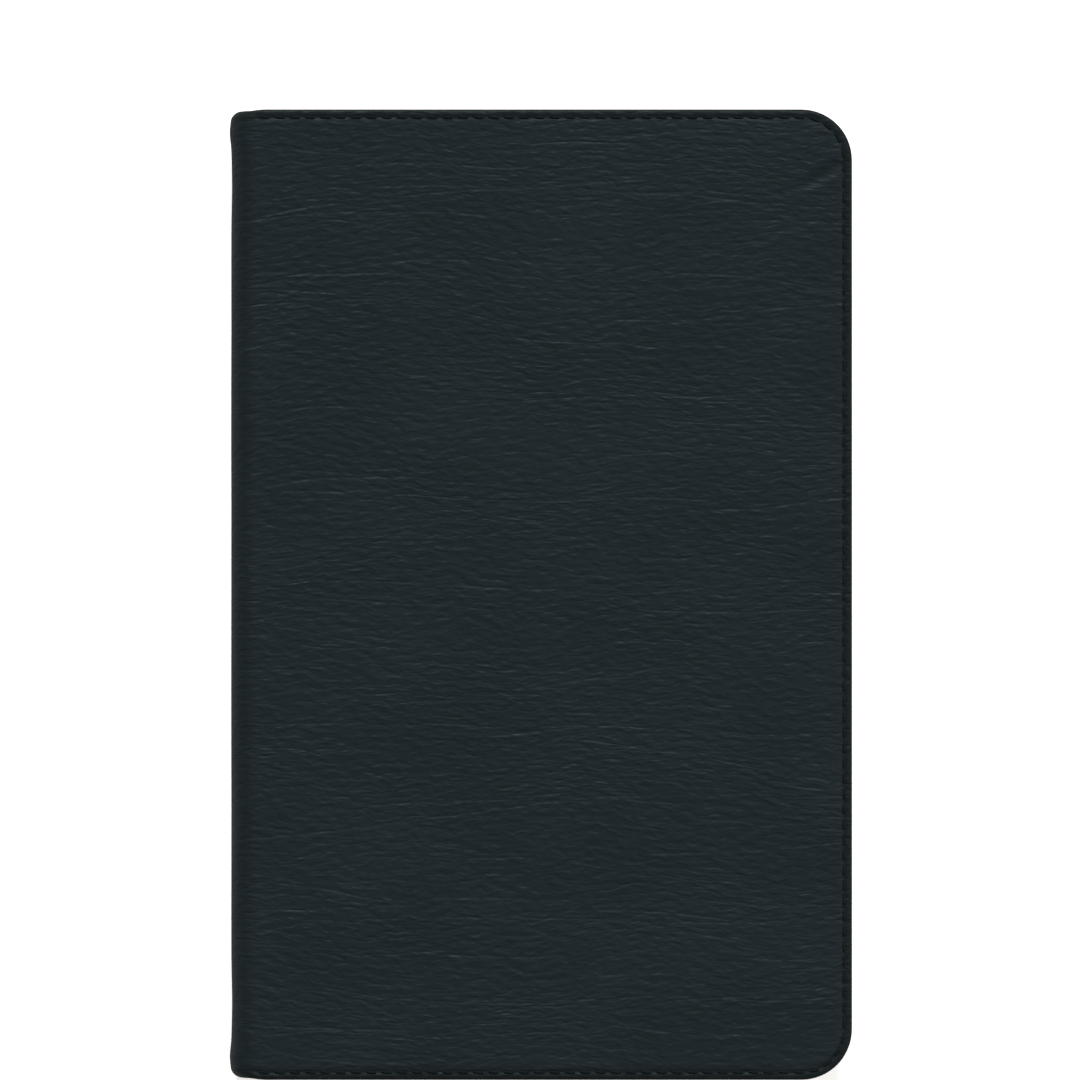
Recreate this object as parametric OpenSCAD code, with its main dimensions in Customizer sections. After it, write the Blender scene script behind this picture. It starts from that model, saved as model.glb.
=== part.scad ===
// A limp leather bible lying closed on its back cover, in millimetres.
// +X runs from the spine to the fore-edge, +Y from the tail to the head, +Z from the back cover to the front cover.
// The origin is the centre of the closed book's footprint, on the surface that it lies on.
// The book is built twice over, once on each side of its middle page, and the back side is the front side mirrored.

/* [Closed book] */
// Height of the cover from tail to head
cover_h = 216; // [150:1:300]
// Width of the closed book from spine to fore-edge
cover_w = 138.5; // [100:0.5:200]
// Thickness of the closed book
book_t = 24; // [20:0.5:40]
// Radius of the cover's two fore-edge corners
corner_r = 11.3; // [8:0.1:16]

/* [Cover] */
// Thickness of the leather
leather_t = 0.9; // [0.8:0.05:1.2]
// Thickness of the flexible card inside each cover
board_t = 0.5; // [0.4:0.05:0.8]
// Thickness of the lining glued inside each cover
lining_t = 0.4; // [0.3:0.05:0.5]
// Width of the leather turned in round the card
turn_in = 3.2; // [2.8:0.1:5]
// Distance of the seam from the cover's edge
seam_inset = 1.7; // [1.5:0.1:2]
// Thickness of the seam thread
thread_d = 0.4; // [0.3:0.05:0.5]

/* [Spine] */
// Depth of the rounded spine in front of the hinge line
spine_depth = 6; // [5:0.25:9]
// Squareness of the rounded spine, where 2 is an ellipse
spine_power = 2.5; // [2:0.1:4]
// How far the spine leather stops short of the cover at head and at tail
headcap_drop = 0.3; // [0.2:0.1:1]

/* [Pages] */
// Distance of the page edges from the cover's edge at head and at tail
page_square = 3.5; // [2.5:0.1:6]
// Distance of the outermost leaf from the cover's fore-edge
fore_square = 2.8; // [2:0.1:6]
// Radius of the pages' two fore-edge corners
page_corner_r = 8; // [5:0.5:12]
// Number of sewn signatures on each side of the middle
signatures = 16; // [8:1:20]
// Thickness of a bundle of loose-turning leaves
leaf_t = 0.2; // [0.15:0.01:0.2]
// Width of the ribbon marker
ribbon_w = 6; // [4:0.5:8]

/* [Hidden] */
$fn = 72;

LEATHER = [0.12, 0.16, 0.18];
LINING = [0.07, 0.08, 0.09];
CARD = [0.55, 0.52, 0.46];
PAPER = [0.94, 0.91, 0.84];
GILT = [0.83, 0.66, 0.32];
GAUZE = [0.85, 0.83, 0.76];
THREAD = [0.05, 0.06, 0.07];
RIBBON = [0.45, 0.05, 0.08];

mid_z = book_t / 2;
edge_x = cover_w / 2;
edge_y = cover_h / 2;
hinge_x = spine_depth - edge_x;
cover_t = leather_t + board_t + lining_t;

// Heights below are counted from the middle page, so that both sides of the book share them.
clear = 0.05;
fold_gap = 0.02;
leaf_room = leaf_t + 2 * clear;
block_top = mid_z - cover_t - leaf_room;
block_floor = 0.5;
lining_z = mid_z - cover_t;
board_z = lining_z + lining_t;
leather_z = board_z + board_t;

// Layers of the spine, from the leather inwards, as steps from its outside.
spine_leather_t = 1;
layer_t = 0.3;
liner_step = spine_leather_t;
mull_step = liner_step + layer_t;
sewing_step = mull_step + layer_t;
block_step = sewing_step + layer_t;
spine_segments = 24;

page_h = cover_h - 2 * page_square;
page_w = edge_x - fore_square - back_x(block_top);
signature_pitch = (block_top - block_floor) / signatures;
signature_gap = 0.02;
board_gap = 0.1;
hinge_gap = 0.15;
seam_w = 0.6;
seam_depth = 0.35;
sewing_stations = 5;
sewing_w = 0.6;
mull_margin = 12;
band_t = 1.2;
band_h = 1.4;
ribbon_t = 0.22;

// x of the rounded back of the pages at height z from the middle.
function back_x(z) =
    let (a = spine_depth - block_step, b = mid_z - block_step)
    hinge_x - a * pow(1 - pow(min(1, z / b), spine_power), 1 / spine_power);

// Quarter of a superellipse from the back of the spine up to its edge, a step inside its outside.
function spine_curve(step) = [
    for (i = [0 : spine_segments])
    let (
        turn = 90 * i / spine_segments,
        across = (spine_depth - step) * pow(cos(turn), 2 / spine_power),
        up = (mid_z - step) * pow(sin(turn), 2 / spine_power)
    )
    [hinge_x - across, max(up, fold_gap)]
];

function reversed(list) = [for (i = [len(list) - 1 : -1 : 0]) list[i]];

// Places what is drawn above the middle page on the front side, or its mirror image on the back side.
module on_side(side) {
    translate([0, 0, mid_z])
        mirror([0, 0, side == "back" ? 1 : 0])
            children();
}

// A sheet from x0 to the fore-edge whose two fore-edge corners are round, inset all round by inset.
module sheet_outline(x0, x1, half_h, r) {
    translate([x0, -half_h]) square([x1 - x0 - r, 2 * half_h]);
    translate([x0, r - half_h]) square([x1 - x0, 2 * (half_h - r)]);
    for (end = [-1, 1])
        translate([x1 - r, end * (half_h - r)]) circle(r);
}

module cover_outline(inset, x0) {
    sheet_outline(x0, edge_x - inset, edge_y - inset, corner_r - inset);
}

module slab(z0, z1) {
    translate([0, 0, z0]) linear_extrude(z1 - z0) children();
}

// Seam line round the head, fore-edge and tail of a cover, open at the spine.
module seam_outline(inset, width) {
    difference() {
        cover_outline(inset, hinge_x + hinge_gap);
        cover_outline(inset + width, hinge_x - 1);
    }
}

module cover_leather(side) {
    color(LEATHER) on_side(side) difference() {
        slab(board_z, mid_z) cover_outline(0, hinge_x + hinge_gap);
        slab(board_z - 1, leather_z) cover_outline(turn_in, hinge_x + 1);
        slab(mid_z - seam_depth, mid_z + 1) seam_outline(seam_inset - seam_w / 2, seam_w);
    }
}

module cover_board(side) {
    color(CARD) on_side(side)
        slab(board_z, leather_z) cover_outline(turn_in + board_gap, hinge_x + 1 + board_gap);
}

module cover_lining(side) {
    color(LINING) on_side(side)
        slab(lining_z, board_z) cover_outline(0.4, hinge_x + 1);
}

module cover_stitching(side) {
    color(THREAD) on_side(side)
        slab(mid_z - seam_depth, mid_z - clear) seam_outline(seam_inset - thread_d / 2, thread_d);
}

// One layer of the spine: the space between two of its curves, run along the spine.
module spine_layer(outer_step, inner_step, length) {
    rotate([90, 0, 0])
        linear_extrude(length, center = true)
            polygon(concat(spine_curve(outer_step), reversed(spine_curve(inner_step))));
}

module spine_leather(side) {
    color(LEATHER) on_side(side)
        spine_layer(0, liner_step, cover_h - 2 * headcap_drop);
}

module spine_liner(side) {
    color(CARD) on_side(side)
        spine_layer(liner_step, mull_step, page_h);
}

module spine_mull(side) {
    color(GAUZE) on_side(side)
        spine_layer(mull_step, sewing_step, page_h - 2 * mull_margin);
}

// Thread over the backs of the signatures, at evenly spaced sewing stations.
module sewing_thread(side) {
    station_pitch = page_h / (sewing_stations + 1);
    color(THREAD) on_side(side)
        for (i = [1 : sewing_stations])
            translate([0, i * station_pitch - page_h / 2, 0])
                spine_layer(sewing_step, block_step, sewing_w);
}

// Woven band on the end of the page block, against the spine.
module end_band(side, end) {
    color(RIBBON) on_side(side)
        translate([0, end * (page_h + band_h) / 2, 0])
            spine_layer(block_step, block_step + band_t, band_h);
}

module leaf_outline(x0, x1) {
    sheet_outline(x0, x1, page_h / 2, page_corner_r);
}

// Folded and sewn gatherings, each stepped across by the rounding of the back.
module signature_stack(side) {
    color(PAPER) on_side(side)
        for (i = [0 : signatures - 1])
            let (
                z0 = block_floor + i * signature_pitch,
                z1 = z0 + signature_pitch - signature_gap,
                x0 = back_x(z1)
            )
            slab(z0, z1) leaf_outline(x0, x0 + page_w);
}

// Free half of the endpaper, between the cover's lining and the pages.
module flyleaf(side) {
    color(PAPER) on_side(side)
        slab(block_top + clear, block_top + clear + leaf_t)
            leaf_outline(hinge_x + 0.8, edge_x - fore_square);
}

// A leaf of the middle gathering; they stack upwards from just under the middle page.
module middle_leaf(index) {
    leaf_pitch = leaf_t + 2 * fold_gap;
    z0 = mid_z + (index - 2) * leaf_pitch + fold_gap;
    x0 = back_x(0) + clear;
    color(PAPER) slab(z0, z0 + leaf_t) leaf_outline(x0, x0 + page_w);
}

// Flat ribbon tucked between the pages, from the head of the spine towards the tail, with a slanting end.
module ribbon_marker() {
    head = [hinge_x - 1, page_h / 2];
    tail = [hinge_x + 30, -page_h / 2 + 12];
    color(RIBBON)
        slab(mid_z - block_floor + fold_gap, mid_z - block_floor + fold_gap + ribbon_t)
            polygon([head, head + [ribbon_w, 0], tail + [ribbon_w, 5], tail]);
}

cover_leather("back");  // back_cover_leather
cover_board("back");  // back_cover_board
cover_lining("back");  // back_cover_lining
cover_stitching("back");  // back_cover_stitching
cover_leather("front");  // front_cover_leather
cover_board("front");  // front_cover_board
cover_lining("front");  // front_cover_lining
cover_stitching("front");  // front_cover_stitching
spine_leather("back");  // back_spine_leather
spine_liner("back");  // back_spine_liner
spine_mull("back");  // back_spine_mull
sewing_thread("back");  // back_sewing_thread
spine_leather("front");  // front_spine_leather
spine_liner("front");  // front_spine_liner
spine_mull("front");  // front_spine_mull
sewing_thread("front");  // front_sewing_thread
end_band("back", 1);  // back_headband
end_band("back", -1);  // back_tailband
end_band("front", 1);  // front_headband
end_band("front", -1);  // front_tailband
signature_stack("back");  // back_signatures
signature_stack("front");  // front_signatures
flyleaf("back");  // back_flyleaf
flyleaf("front");  // front_flyleaf
middle_leaf(1);  // middle_leaf_1
middle_leaf(2);  // middle_leaf_2
middle_leaf(3);  // middle_leaf_3
ribbon_marker();
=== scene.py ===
"""Looks of a closed limp-leather bible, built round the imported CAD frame. Units are metres."""

import math

import bmesh
import bpy
import numpy as np
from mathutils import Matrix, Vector, noise


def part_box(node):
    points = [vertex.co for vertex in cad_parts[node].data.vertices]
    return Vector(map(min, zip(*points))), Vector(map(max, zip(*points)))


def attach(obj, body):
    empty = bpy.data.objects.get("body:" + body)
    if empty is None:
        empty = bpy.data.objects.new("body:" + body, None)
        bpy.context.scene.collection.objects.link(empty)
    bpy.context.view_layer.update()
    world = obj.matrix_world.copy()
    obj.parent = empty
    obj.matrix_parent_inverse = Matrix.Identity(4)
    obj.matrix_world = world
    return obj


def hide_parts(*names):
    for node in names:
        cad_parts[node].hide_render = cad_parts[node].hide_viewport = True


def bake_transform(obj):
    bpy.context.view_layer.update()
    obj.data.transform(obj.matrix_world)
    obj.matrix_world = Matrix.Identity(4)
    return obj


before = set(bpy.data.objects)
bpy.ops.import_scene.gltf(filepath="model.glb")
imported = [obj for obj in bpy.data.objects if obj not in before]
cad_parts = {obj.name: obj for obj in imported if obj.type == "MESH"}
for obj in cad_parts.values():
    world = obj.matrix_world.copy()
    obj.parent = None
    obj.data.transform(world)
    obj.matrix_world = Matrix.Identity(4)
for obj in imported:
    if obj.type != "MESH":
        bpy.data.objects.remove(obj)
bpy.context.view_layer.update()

MM = 0.001


def mm(*sizes):
    """Sizes in metres from sizes in millimetres."""
    return tuple(size * MM for size in sizes)


# ---- sizes, from the frame
_, cover_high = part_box("front_cover_leather")
spine_low, spine_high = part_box("front_spine_leather")
lining_low, lining_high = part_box("front_cover_lining")
board_low, board_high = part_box("front_cover_board")
leaf_low, leaf_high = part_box("front_flyleaf")
_, pages_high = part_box("front_signatures")
_, mull_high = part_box("front_spine_mull")
band_low, band_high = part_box("front_headband")
ribbon_low, ribbon_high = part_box("ribbon_marker")

EDGE_X = cover_high.x
EDGE_Y = cover_high.y
TOP_Z = cover_high.z
MID_Z = TOP_Z / 2
SPINE_X = spine_low.x
HINGE_X = spine_high.x
SPINE_DEPTH = HINGE_X - SPINE_X
SPINE_Y = spine_high.y
CORNER_R = 11.3 * MM
SPINE_POWER = 2.5
SPINE_SAMPLES = 721

# Depths below the outside of the cover or of the spine.
LEATHER_T = TOP_Z - board_high.z
LINING_T = TOP_Z - lining_low.z
SPINE_LEATHER_T = 1.0 * MM
SPINE_LAYER_T = 0.3 * MM
MULL_STEP = SPINE_LEATHER_T + SPINE_LAYER_T
SEWING_STEP = MULL_STEP + SPINE_LAYER_T
BLOCK_STEP = SEWING_STEP + SPINE_LAYER_T

TURN_IN = 3.2 * MM
SEAM_INSET = 1.75 * MM
STITCH_PITCH = 3.4 * MM
PAGE_HALF_H = pages_high.y
PAGE_CORNER_R = 8 * MM
PAGE_RISE = pages_high.z - MID_Z
# From the middle to each half's innermost page. The middle leaves and the ribbon lie between.
BLOCK_FLOOR = {"front": 0.5 * MM, "back": 0.33 * MM}
SIGNATURES = 16
SEWING_STATIONS = 5

# Zones measured from the hinge line or the middle page. Nothing bends the soft pieces over HINGE_BEND;
# SEAM_Z is where the spine's leather meets each cover's.
HINGE_BEND = mm(-1.5, 3.0)
SEAM_Z = MID_Z + 6.0 * MM

BACK_HALF, FRONT_HALF = "back_half", "front_half"
SIDES = {"front": (FRONT_HALF, "front_cover"), "back": (BACK_HALF, "back_cover")}


# ---- the book's cross-section
def run_along(x, y):
    """Length along a line of points, up to each point."""
    return np.concatenate([[0], np.cumsum(np.hypot(np.diff(x), np.diff(y)))])


def joined(*parts):
    """Coordinates put together as points."""
    return np.stack(np.broadcast_arrays(*parts), -1)


def spine_path():
    """Length, points and outward normals along the front half of the spine, from the hinge down."""
    turn = np.radians(np.linspace(90, 0, SPINE_SAMPLES))
    across = SPINE_DEPTH * np.cos(turn) ** (2 / SPINE_POWER)
    up = MID_Z * np.sin(turn) ** (2 / SPINE_POWER)
    across[0] = 0
    points = np.stack([HINGE_X - across, MID_Z + up], 1)
    run = run_along(points[:, 0], points[:, 1])
    tangent = np.gradient(points, run, axis=0)
    normal = np.stack([tangent[:, 1], -tangent[:, 0]], 1)
    normal /= np.linalg.norm(normal, axis=1)[:, None]
    normal[0] = (0, 1)
    normal[-1] = (-1, 0)
    return run, points, normal


SPINE_RUN, SPINE_POINTS, SPINE_NORMALS = spine_path()
SPINE_LENGTH = SPINE_RUN[-1]
SEAM_RUN = float(np.interp(SEAM_Z, SPINE_POINTS[::-1, 1], SPINE_RUN[::-1]))


def wrap(run, y, depth, side="front"):
    """Where a point lies that is run past the hinge (below 0 on the spine), at y, and depth below the
    outside. A run past the middle page, under -SPINE_LENGTH, goes on along the other side."""
    run, y, depth = np.broadcast_arrays(run, y, depth)
    over = run < -SPINE_LENGTH
    run = np.where(over, -2 * SPINE_LENGTH - run, run)
    back = np.maximum(-run, 0)
    x, z = (
        np.interp(back, SPINE_RUN, places) - np.interp(back, SPINE_RUN, normals) * depth
        for places, normals in zip(SPINE_POINTS.T, SPINE_NORMALS.T)
    )
    x = x + np.maximum(run, 0)
    mirrored = over if side == "front" else ~over
    z = np.where(mirrored, TOP_Z - z, z)
    return joined(x, y, z)


def back_x(height, step=BLOCK_STEP):
    """x of the curve that lies step inside the spine, at a height above or below the middle page."""
    share = np.minimum(1, np.abs(height) / (MID_Z - step))
    return HINGE_X - (SPINE_DEPTH - step) * (1 - share**SPINE_POWER) ** (1 / SPINE_POWER)


# ---- mesh building
def placed(name, data):
    """A new object in the scene with this data."""
    added = bpy.data.objects.new(name, data)
    bpy.context.scene.collection.objects.link(added)
    return added


class Shell:
    """Collects vertices, faces, flat coordinates and material numbers of one piece."""

    def __init__(self):
        self.points, self.flat, self.faces, self.paint = [], [], [], []
        self.count = 0

    def grid(self, points, flat, paint=0):
        """Adds a grid of points with faces, and returns the grid of their numbers."""
        rows, columns = points.shape[:2]
        numbers = self.count + np.arange(rows * columns).reshape(rows, columns)
        self.points.append(points.reshape(-1, 3))
        self.flat.append(np.broadcast_to(flat, points.shape[:2] + (2,)).reshape(-1, 2))
        self.count += rows * columns
        self.skin(numbers, paint)
        return numbers

    def loose(self, points, flat):
        """Adds points without faces, and returns their numbers."""
        self.points.append(points)
        self.flat.append(flat)
        self.count += len(points)
        return np.arange(self.count - len(points), self.count)

    def skin(self, numbers, paint=0):
        """Adds the quads of a grid of numbers."""
        corners = [numbers[:-1, :-1], numbers[:-1, 1:], numbers[1:, 1:], numbers[1:, :-1]]
        quads = np.stack(corners, -1).reshape(-1, 4)
        self.faces.append(quads)
        self.paint.append(np.full(len(quads), paint))

    def bridge(self, first, second, paint=0):
        """Joins two rows of numbers of the same length with quads."""
        self.skin(np.stack([first, second]), paint)

    def close(self, top, bottom):
        """Joins two grids of numbers along all four sides."""
        for end in (0, -1):
            self.bridge(top[end], bottom[end])
            self.bridge(top[:, end], bottom[:, end])

    def tube(self, rings, flat, paint=0):
        """Adds a closed tube from rings of points along it."""
        numbers = self.grid(rings, flat, paint)
        self.skin(np.stack([numbers[:, -1], numbers[:, 0]], 1), paint)
        self.zip_up(numbers[0], paint)
        self.zip_up(numbers[-1], paint)

    def zip_up(self, profile, paint=0):
        """Fills a thin profile with quads from its two ends, which lie side by side, to its turn."""
        half = (len(profile) + 1) // 2
        self.bridge(profile[:half], profile[::-1][:half], paint)

    def make(self, name, materials, sharp_above=40, join_within=0.002 * MM):
        """The finished object, with touching points joined. sharp_above is in degrees."""
        points, flat, faces = (np.concatenate(parts) for parts in (self.points, self.flat, self.faces))
        corners = [list(dict.fromkeys(face)) for face in faces.tolist()]
        paint = np.concatenate(self.paint)[[len(face) > 2 for face in corners]]
        corners = [face for face in corners if len(face) > 2]
        mesh = bpy.data.meshes.new(name)
        mesh.from_pydata(points.tolist(), [], corners)
        layer = mesh.uv_layers.new(name="flat")
        layer.data.foreach_set("uv", flat[np.concatenate(corners)].astype(np.float32).ravel())
        mesh.polygons.foreach_set("material_index", paint.astype(np.int32))
        mesh.polygons.foreach_set("use_smooth", np.ones(len(corners), bool))
        for material in materials:
            mesh.materials.append(material)
        cleaned = bmesh.new()
        cleaned.from_mesh(mesh)
        bmesh.ops.remove_doubles(cleaned, verts=cleaned.verts, dist=join_within)
        bmesh.ops.dissolve_degenerate(cleaned, edges=cleaned.edges, dist=join_within / 10)
        bmesh.ops.delete(cleaned, geom=[v for v in cleaned.verts if not v.link_faces], context="VERTS")
        bmesh.ops.recalc_face_normals(cleaned, faces=cleaned.faces)
        cleaned.to_mesh(mesh)
        cleaned.free()
        mesh.set_sharp_from_angle(angle=math.radians(sharp_above))
        return placed(name, mesh)


def waves(points, scale, seed):
    """Smooth noise from -1 to 1 at each (x, y), with features about scale across."""
    flat = points.reshape(-1, points.shape[-1])
    found = [noise.noise(Vector((p[0] / scale, p[1] / scale, seed))) for p in flat]
    return np.array(found).reshape(points.shape[:-1])


# ---- materials
class Graph:
    """The nodes of one material. Each call adds a node and returns its output."""

    def __init__(self, name):
        self.material = bpy.data.materials.new(name)
        self.material.use_nodes = True
        self.tree = self.material.node_tree
        self.shader = self.tree.nodes["Principled BSDF"]

    def node(self, kind, settings=None, **inputs):
        made = self.tree.nodes.new("ShaderNode" + kind)
        for key, value in (settings or {}).items():
            setattr(made, key, value)
        for key, value in inputs.items():
            self.feed(made.inputs[key.replace("_", " ")], value)
        return made

    def feed(self, socket, value):
        if isinstance(value, bpy.types.NodeSocket):
            self.tree.links.new(value, socket)
        elif value is not None:
            socket.default_value = value

    def math(self, operation, first, second=None, third=None):
        made = self.tree.nodes.new("ShaderNodeMath")
        made.operation = operation
        for socket, value in zip(made.inputs, (first, second, third)):
            self.feed(socket, value)
        return made.outputs[0]

    def add(self, first, second):
        return self.math("ADD", first, second)

    def times(self, first, second):
        return self.math("MULTIPLY", first, second)

    def flat(self):
        """The piece's flat coordinates in metres."""
        parts = self.node("SeparateXYZ", Vector=self.node("UVMap", {"uv_map": "flat"}).outputs[0])
        return parts.outputs[0], parts.outputs[1]

    def pair(self, first, second):
        return self.node("CombineXYZ", X=first, Y=second).outputs[0]

    def at(self, across, along, size_across, size_along):
        """A vector that grows by 1 over each size."""
        return self.pair(self.times(across, 1 / size_across), self.times(along, 1 / size_along))

    def noise(self, vector, detail=2.0, roughness=0.5):
        inputs = {"Vector": vector, "Scale": 1.0, "Detail": detail, "Roughness": roughness}
        return self.node("TexNoise", {"noise_dimensions": "2D"}, **inputs).outputs[0]

    def cells(self, vector):
        return self.node("TexVoronoi", {"voronoi_dimensions": "2D"}, Vector=vector, Scale=1.0).outputs[0]

    def chance(self, vector):
        """A random number for each different vector."""
        return self.node("TexWhiteNoise", {"noise_dimensions": "2D"}, Vector=vector).outputs[0]

    def ramp(self, value, low, high, to_low=0.0, to_high=1.0):
        """value's way from low to high, smoothed, as a number from to_low to to_high."""
        made = self.node("MapRange", {"interpolation_type": "SMOOTHSTEP"}, Value=value)
        for key, number in zip(("From Min", "From Max", "To Min", "To Max"), (low, high, to_low, to_high)):
            made.inputs[key].default_value = number
        return made.outputs[0]

    def mix(self, factor, first, second):
        made = self.tree.nodes.new("ShaderNodeMix")
        made.data_type = "RGBA"
        for index, value in ((0, factor), (6, first), (7, second)):
            self.feed(made.inputs[index], value)
        return made.outputs[2]

    def bump(self, height, distance, normal=None):
        return self.node("Bump", Strength=1.0, Distance=distance, Height=height, Normal=normal).outputs[0]

    def finish(self, colour, roughness, normal=None, **fixed):
        """Feeds the shader, and returns the material. fixed inputs are the same all over."""
        self.feed(self.shader.inputs["Base Color"], colour)
        self.feed(self.shader.inputs["Roughness"], roughness)
        self.feed(self.shader.inputs["Normal"], normal)
        for key, value in fixed.items():
            self.shader.inputs[key.replace("_", " ")].default_value = value
        return self.material


def rgb(red, green, blue):
    return (red, green, blue, 1.0)


def scaled(colour, by):
    """The same colour, lighter or darker."""
    return rgb(*(part * by for part in colour[:3]))


# Leather grain: sizes of its features, across the book and along it.
GRAIN_FLOW = mm(52, 34)
GRAIN_FLOW_DRIFT = 7 * MM
GRAIN_WANDER = mm(4.6, 3.0)
GRAIN_WANDER_DRIFT = 1.0 * MM
GRAIN_WRINKLE = mm(3.4, 1.35)
GRAIN_PATCH = mm(30, 22)
GRAIN_PORE = mm(0.75, 0.4)

# Creases as (spacing, length, half width, tilt, share kept). The long ones lie further apart.
SHORT_CREASES = [
    (*mm(1.5, 4.2, 0.42), 0.04, 0.53),
    (*mm(2.2, 3.2, 0.40), -0.10, 0.53),
]
LONG_CREASES = [
    (*mm(6.2, 30, 0.44), 0.02, 0.53),
    (*mm(15, 42, 0.48), -0.08, 0.49),
    (*mm(19, 26, 0.42), 0.13, 0.53),
]
WRINKLE_RISE = 0.29
CREASE_DEPTH = 0.045
LONG_CREASE_DEPTH = 0.06
CREASE_BREAKS = mm(2.6, 1.1)
CREASE_FADE = (0.06, 0.09)
# How far the noise that breaks the creases moves on from one row to the next.
ROW_SHIFT = (5.17, 2.3)
SHORT_SEED, LONG_SEED = 3.1, 7.7

# How much of the painted highlight colour the creases take, and how the leather shines.
SHORT_CREASE_HIGHLIGHT, LONG_CREASE_HIGHLIGHT = 0.10, 0.20
LEATHER_ROUGHNESS = (0.50, 0.56)
CREASE_ROUGHNESS = -0.06
LEATHER_SHINE = {"Specular_IOR_Level": 0.107, "Specular_Tint": rgb(0.85, 0.94, 1.0)}
PATCH_SHADE = 0.93

# How far in from the edge the cover is darker, and where this has faded out. Over the seam's furrow this
# darkening is painted shade.
RIM_DARK_TO = 1.9 * MM
RIM_DARK_END = 2.6 * MM
PORE_DEPTH = 0.012


def crease_lines(g, across, along, crease, seed):
    """Broken lines that run nearly across the book: 1 in their middle and 0 beside them."""
    spacing, length, half_width, tilt, kept = crease
    rows = g.times(g.add(along, g.times(across, tilt)), 1 / spacing)
    row = g.math("FLOOR", rows)
    middle = g.math("MULTIPLY_ADD", g.chance(g.pair(row, seed)), 0.5, 0.25)
    off = g.math("ABSOLUTE", g.math("SUBTRACT", g.math("FRACT", rows), middle))
    line = g.ramp(off, 0.0, half_width / spacing, 1.0, 0.0)
    place = g.math("MULTIPLY_ADD", row, ROW_SHIFT[0], g.times(across, 1 / length))
    broken = g.noise(g.pair(place, g.math("MULTIPLY_ADD", row, ROW_SHIFT[1], seed)), detail=1.0)
    return g.times(line, g.ramp(broken, kept - CREASE_FADE[0], kept + CREASE_FADE[1]))


def crease_set(g, across, along, creases, seed):
    """Several sets of crease lines laid over each other."""
    found = [crease_lines(g, across, along, crease, seed + number) for number, crease in enumerate(creases)]
    while len(found) > 1:
        found[:2] = [g.math("MAXIMUM", found[0], found[1])]
    return found[0]


def cover_rim(g, across, along):
    """1 on the narrow rim of the cover's leather outside its seam and over the seam's furrow, and 0 further
    in. Over the furrow it marks painted shade.
    """
    straight_x = SPINE_LENGTH + EDGE_X - HINGE_X - CORNER_R
    past_x = g.add(g.math("ABSOLUTE", g.add(across, SPINE_LENGTH)), -straight_x)
    past_y = g.add(g.math("ABSOLUTE", along), CORNER_R - EDGE_Y)
    round_x, round_y = g.math("MAXIMUM", past_x, 0.0), g.math("MAXIMUM", past_y, 0.0)
    corner = g.math("SQRT", g.math("MULTIPLY_ADD", round_x, round_x, g.times(round_y, round_y)))
    side = g.math("MINIMUM", g.math("MAXIMUM", past_x, past_y), 0.0)
    return g.ramp(g.math("SUBTRACT", CORNER_R, g.add(corner, side)), RIM_DARK_TO, RIM_DARK_END, 1.0, 0.0)


def leather_material(name, colour, crease_highlight, rim_colour=None, depth=1.0, long_creases=1.0):
    """Fine-grained leather, creased across the book, with a lighter colour painted along its creases as
    their highlight.
    """
    g = Graph(name)
    across, along = g.flat()
    flow = g.noise(g.at(across, along, *GRAIN_FLOW), detail=1.0)
    bent = g.add(along, g.times(g.add(flow, -0.5), GRAIN_FLOW_DRIFT))
    wander = g.noise(g.at(across, bent, *GRAIN_WANDER))
    curly = g.add(bent, g.times(g.add(wander, -0.5), GRAIN_WANDER_DRIFT))

    wrinkles = g.noise(g.at(across, curly, *GRAIN_WRINKLE), detail=1.3)
    patches = g.noise(g.at(across, along, *GRAIN_PATCH))
    pores = g.cells(g.at(across, curly, *GRAIN_PORE))
    short = crease_set(g, across, curly, SHORT_CREASES, SHORT_SEED)
    long = crease_set(g, across, bent, LONG_CREASES, LONG_SEED)
    short = g.times(short, g.ramp(patches, 0.32, 0.62, 0.4, 1.0))
    breaks = g.noise(g.at(across, bent, *CREASE_BREAKS), detail=1.0)
    long = g.times(g.times(long, long_creases), g.ramp(breaks, 0.34, 0.56, 0.5, 1.0))

    # A lighter colour along the creases paints their highlight.
    lit = g.math("MINIMUM", g.add(g.times(short, SHORT_CREASE_HIGHLIGHT), g.times(long, LONG_CREASE_HIGHLIGHT)), 1.0)
    shade = g.mix(g.ramp(patches, 0.25, 0.75), scaled(colour, PATCH_SHADE), colour)
    shade = g.mix(lit, shade, crease_highlight)
    if rim_colour:
        # Darker near the edge; over the seam's furrow this darkening is painted shade.
        shade = g.mix(cover_rim(g, across, along), shade, rim_colour)

    height = g.times(wrinkles, WRINKLE_RISE)
    pits = g.ramp(pores, 0.0, 0.3, -1.0, 0.0)
    for part, rise in ((short, -CREASE_DEPTH), (long, -LONG_CREASE_DEPTH), (pits, PORE_DEPTH)):
        height = g.add(height, g.times(part, rise))
    normal = g.bump(height, MM * depth)
    roughness = g.add(g.times(lit, CREASE_ROUGHNESS), g.ramp(patches, 0.3, 0.7, *LEATHER_ROUGHNESS))
    return g.finish(shade, roughness, normal, **LEATHER_SHINE)


def thread_material(name, colour, light, twist=0.28 * MM, shine=0.3):
    """Twisted thread, with strands that slant round it."""
    g = Graph(name)
    along, around = g.flat()
    strands = g.math("SINE", g.times(g.add(along, g.times(around, 0.5)), 2 * math.pi / twist))
    fuzz = g.noise(g.at(along, around, *mm(0.35, 0.12)), detail=3.0)
    colour_now = g.mix(g.ramp(g.add(g.times(strands, 0.3), fuzz), 0.2, 1.0), colour, light)
    normal = g.bump(strands, 0.05 * MM)
    normal = g.bump(fuzz, 0.03 * MM, normal)
    return g.finish(colour_now, g.ramp(fuzz, 0.3, 0.7, 0.5, 0.7), normal, Specular_IOR_Level=shine)


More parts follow.
